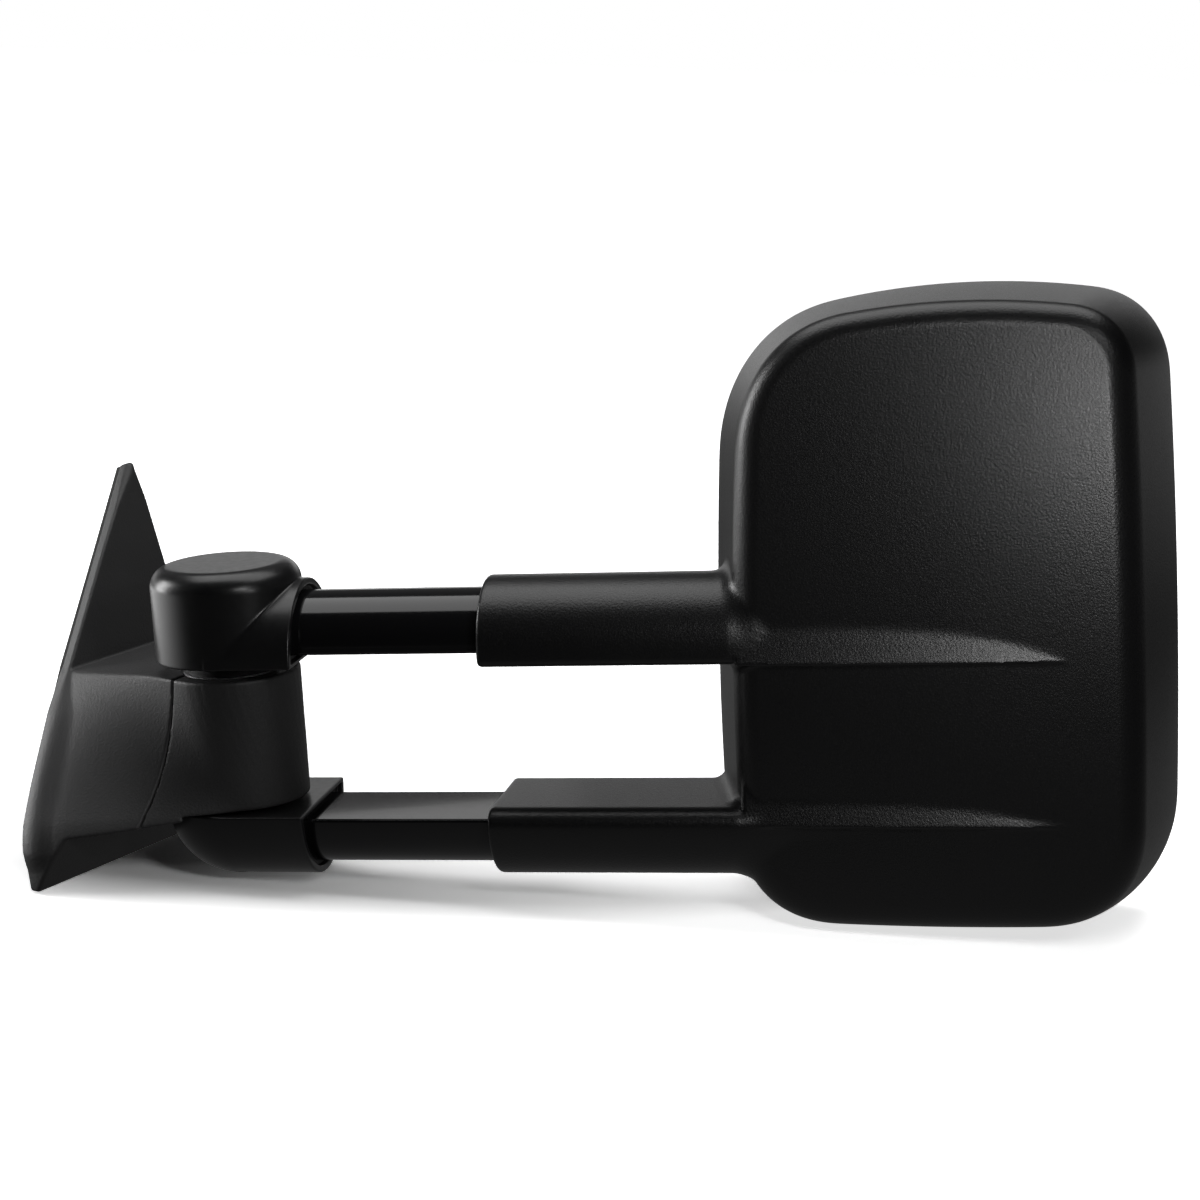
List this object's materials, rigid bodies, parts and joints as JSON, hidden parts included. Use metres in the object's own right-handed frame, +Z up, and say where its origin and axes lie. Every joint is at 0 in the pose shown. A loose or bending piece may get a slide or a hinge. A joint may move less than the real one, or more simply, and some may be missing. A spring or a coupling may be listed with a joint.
{
  "type": "towing mirror",
  "caption": "Door-mounted towing mirror with a folding base, twin telescoping D-section arms and a tall rounded head with tilting glass.",
  "frame": {"origin": "middle of the upper door thread", "axes": "+X outward along the arms, +Y rearward to the glass side, +Z up"},
  "size_m": [0.5266, 0.1536, 0.2873],
  "materials": {
    "grained_black": "fine moulded grain",
    "satin_black": "satin moulded",
    "gloss_black": "gloss black enamel",
    "black_nylon": "plain",
    "white_acetal": "smooth",
    "cast_alloy": "as cast",
    "zinc_steel": "zinc plated",
    "spring_steel": "oiled",
    "gasket_foam": "closed cell",
    "bronze": "machined",
    "mirror_face": "silvered glass"
  },
  "bodies": {
    "base": {"sail_housing": "grained_black", "pivot_housing": "grained_black", "mount_casting": "cast_alloy", "door_inserts": "zinc_steel", "door_gasket": "gasket_foam", "housing_screws": "zinc_steel", "pivot_bushes": "bronze", "friction_disc": "black_nylon", "fold_stop_pin": "zinc_steel", "lower_washer": "black_nylon"},
    "arm_frame": {"thrust_washer": "black_nylon", "upper_knuckle": "satin_black", "lower_knuckle": "satin_black", "upper_arm_tube": "gloss_black", "lower_arm_tube": "gloss_black", "upper_socket_liner": "black_nylon", "lower_socket_liner": "black_nylon", "arm_screws": "zinc_steel", "tube_plugs": "black_nylon", "pivot_bolt": "zinc_steel", "lock_nut": "zinc_steel", "nut_washer": "zinc_steel", "disc_springs": "spring_steel", "access_plug": "black_nylon"},
    "head": {"head_shell": "grained_black", "glass_bezel": "satin_black", "head_frame": "black_nylon", "mouth_bushes": "white_acetal", "inner_bushes": "white_acetal", "friction_pads": "white_acetal", "pad_springs": "spring_steel", "frame_screws": "zinc_steel", "pan_pin": "zinc_steel"},
    "glass_pivot": {"swivel_block": "black_nylon", "tilt_pin": "zinc_steel"},
    "glass": {"glass_carrier": "black_nylon", "mirror_glass": "mirror_face"}
  },
  "joints": [
    {"name": "fold", "type": "hinge", "parent": "base", "child": "arm_frame", "pos_m": [0.07833, -0.0764, -0.05611], "axis": [0, 0, 1], "range_deg": [-50, 68]},
    {"name": "telescope", "type": "slide", "parent": "arm_frame", "child": "head", "axis": [1, 0, 0], "range_m": [-0.08, 0]},
    {"name": "glass_pan", "type": "hinge", "parent": "head", "child": "glass_pivot", "pos_m": [0.40533, -0.0419, -0.00911], "axis": [0, 0, 1], "range_deg": [-6, 6]},
    {"name": "glass_tilt", "type": "hinge", "parent": "glass_pivot", "child": "glass", "pos_m": [0.40533, -0.0349, -0.00911], "axis": [1, 0, 0], "range_deg": [-5, 5]}
  ]
}
